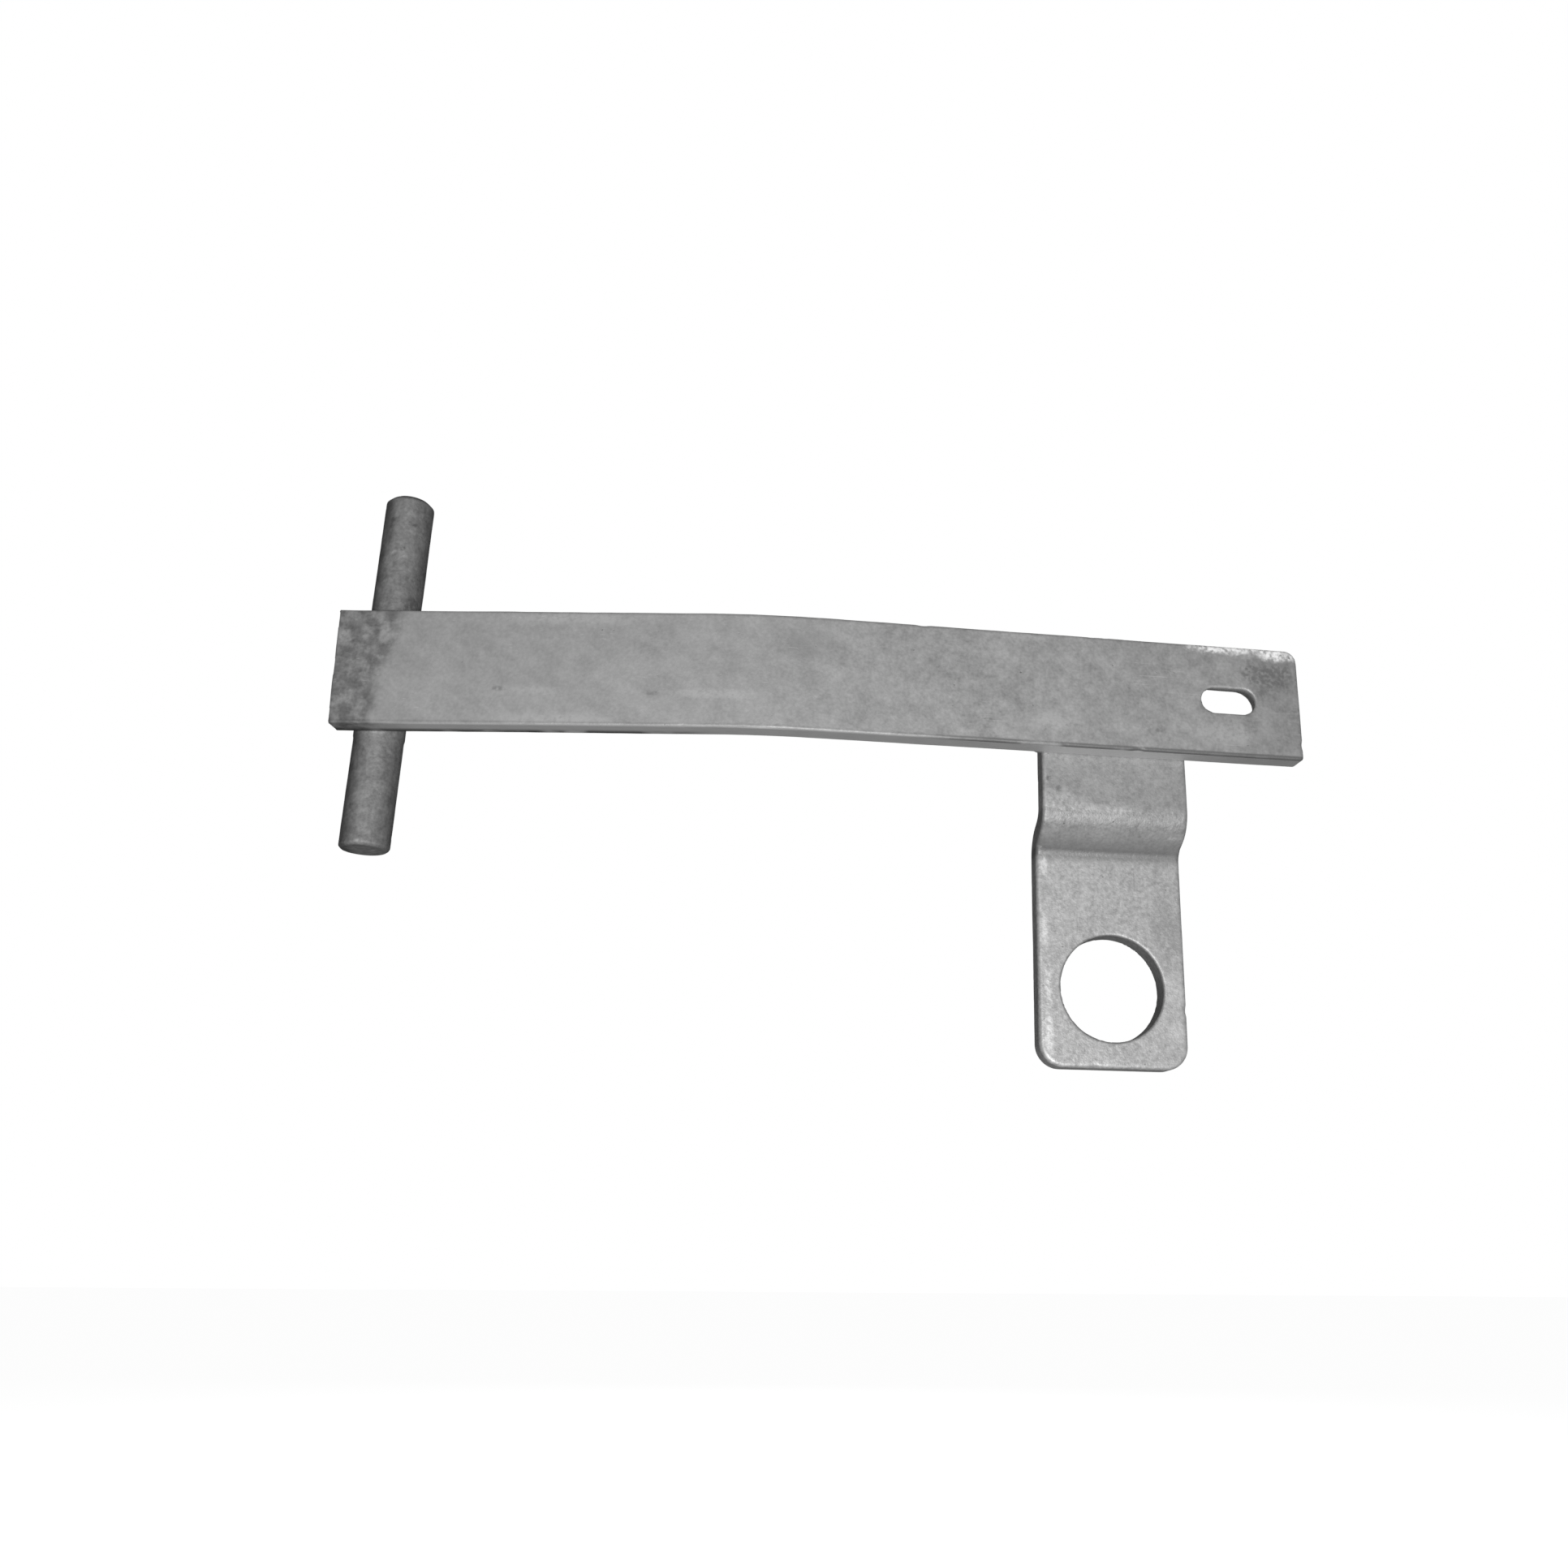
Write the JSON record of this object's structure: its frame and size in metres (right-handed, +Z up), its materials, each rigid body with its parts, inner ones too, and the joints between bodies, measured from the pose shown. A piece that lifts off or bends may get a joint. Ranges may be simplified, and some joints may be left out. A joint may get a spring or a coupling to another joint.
{
  "type": "t hinge",
  "caption": "Cranked T hinge: a flat strap with a round pin across one end, a slot at the other, and a stepped-back tab with a round hole.",
  "frame": {"origin": "on the hinge pin's axis, level with the strap's lower edge, at the shoulder where the lower journal begins", "axes": "+Z up along the hinge pin; +X along the strap's far leg, from the knee to the free end; the strap's face is towards -Y"},
  "size_m": [0.3231, 0.0436, 0.1905],
  "materials": {
    "galvanised_strap": "hot-dip galvanised steel, dull grey and lightly mottled, with a bright worn patch along the free end's upper edge",
    "galvanised_pin": "hot-dip galvanised round bar, darker dull grey zinc",
    "galvanised_tab": "hot-dip galvanised steel, light grey, fine granular zinc",
    "galvanised_weld": "galvanised fillet weld, rippled"
  },
  "bodies": {
    "root": {"strap": "galvanised_strap", "hinge_pin": "galvanised_pin", "cranked_tab": "galvanised_tab", "pin_weld_outer": "galvanised_weld", "pin_weld_inner": "galvanised_weld", "tab_weld_near": "galvanised_weld", "tab_weld_far": "galvanised_weld", "tab_weld_top": "galvanised_weld"}
  },
  "joints": []
}
